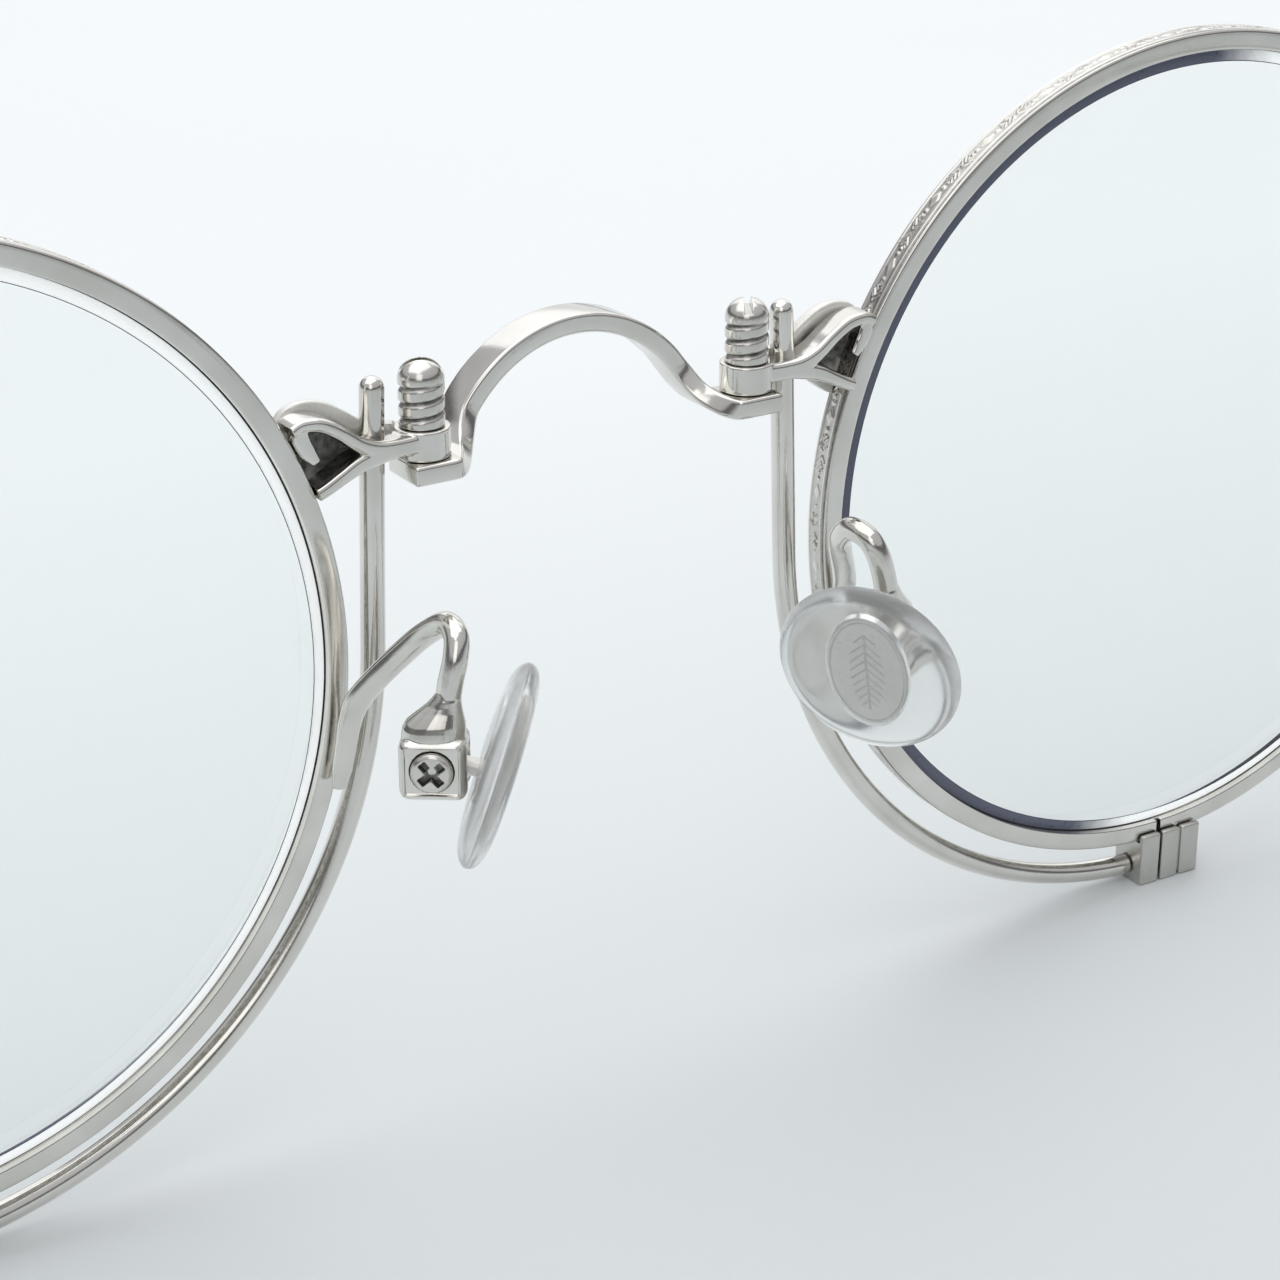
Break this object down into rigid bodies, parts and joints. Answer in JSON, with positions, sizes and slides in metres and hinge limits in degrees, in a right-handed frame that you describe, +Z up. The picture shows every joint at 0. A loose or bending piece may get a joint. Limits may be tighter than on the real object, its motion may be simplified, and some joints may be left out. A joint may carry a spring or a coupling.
{
  "type": "round wire eyeglasses",
  "caption": "Round wire eyeglasses with an arched bridge held by tall screws, side wires down to the rim blocks, tilting nose pads and folding temples.",
  "frame": {"origin": "under the middle of the whole object's box, on the surface that the glasses stand on, which the rim blocks and the temple tips touch with the temples open", "axes": "+Z up, -Y the way the wearer looks, +X the wearer's left; left and right in names are the wearer's"},
  "size_m": [0.1366, 0.147, 0.0482],
  "materials": {
    "polished_metal": null,
    "satin_metal": "satin titanium",
    "screw_metal": "turned and polished steel",
    "lens_plastic": "clear organic lens with a very faint grey-green tint and a coated surface",
    "silicone": "clear moulded silicone",
    "tip_acetate": "translucent smoke-grey acetate, polished"
  },
  "bodies": {
    "front": {"bridge": "polished_metal", "rim_left": "polished_metal", "rim_block_nasal_left": "polished_metal", "rim_block_temporal_left": "polished_metal", "side_wire_left": "polished_metal", "bridge_fork_left": "polished_metal", "pad_arm_left": "polished_metal", "end_piece_left": "polished_metal", "hinge_front_left": "polished_metal", "bridge_shield_left": "satin_metal", "rim_block_screw_left": "screw_metal", "bridge_screw_left": "screw_metal", "pad_screw_left": "screw_metal", "hinge_screw_left": "screw_metal", "lens_left": "lens_plastic", "rim_right": "polished_metal", "rim_block_nasal_right": "polished_metal", "rim_block_temporal_right": "polished_metal", "side_wire_right": "polished_metal", "bridge_fork_right": "polished_metal", "pad_arm_right": "polished_metal", "end_piece_right": "polished_metal", "hinge_front_right": "polished_metal", "bridge_shield_right": "satin_metal", "rim_block_screw_right": "screw_metal", "bridge_screw_right": "screw_metal", "pad_screw_right": "screw_metal", "hinge_screw_right": "screw_metal", "lens_right": "lens_plastic"},
    "temple_left": {"hinge_temple_left": "polished_metal", "temple_left": "polished_metal", "temple_tip_left": "tip_acetate"},
    "pad_left": {"nose_pad_left": "silicone", "pad_core_left": "satin_metal"},
    "temple_right": {"hinge_temple_right": "polished_metal", "temple_right": "polished_metal", "temple_tip_right": "tip_acetate"},
    "pad_right": {"nose_pad_right": "silicone", "pad_core_right": "satin_metal"}
  },
  "joints": [
    {"name": "temple_left_fold", "type": "hinge", "parent": "front", "child": "temple_left", "pos_m": [0.06465, -0.06179, 0.0339], "axis": [0, 0, 1], "range_deg": [0, 90]},
    {"name": "temple_right_fold", "type": "hinge", "parent": "front", "child": "temple_right", "pos_m": [-0.06465, -0.06179, 0.0339], "axis": [0, 0, -1], "range_deg": [0, 80]},
    {"name": "pad_left_tilt", "type": "hinge", "parent": "front", "child": "pad_left", "pos_m": [0.01255, -0.06329, 0.0221], "axis": [0.5664, 0.8241, 0], "range_deg": [0, 22]},
    {"name": "pad_right_tilt", "type": "hinge", "parent": "front", "child": "pad_right", "pos_m": [-0.01255, -0.06329, 0.0221], "axis": [-0.5664, 0.8241, 0], "range_deg": [-22, 0]}
  ]
}
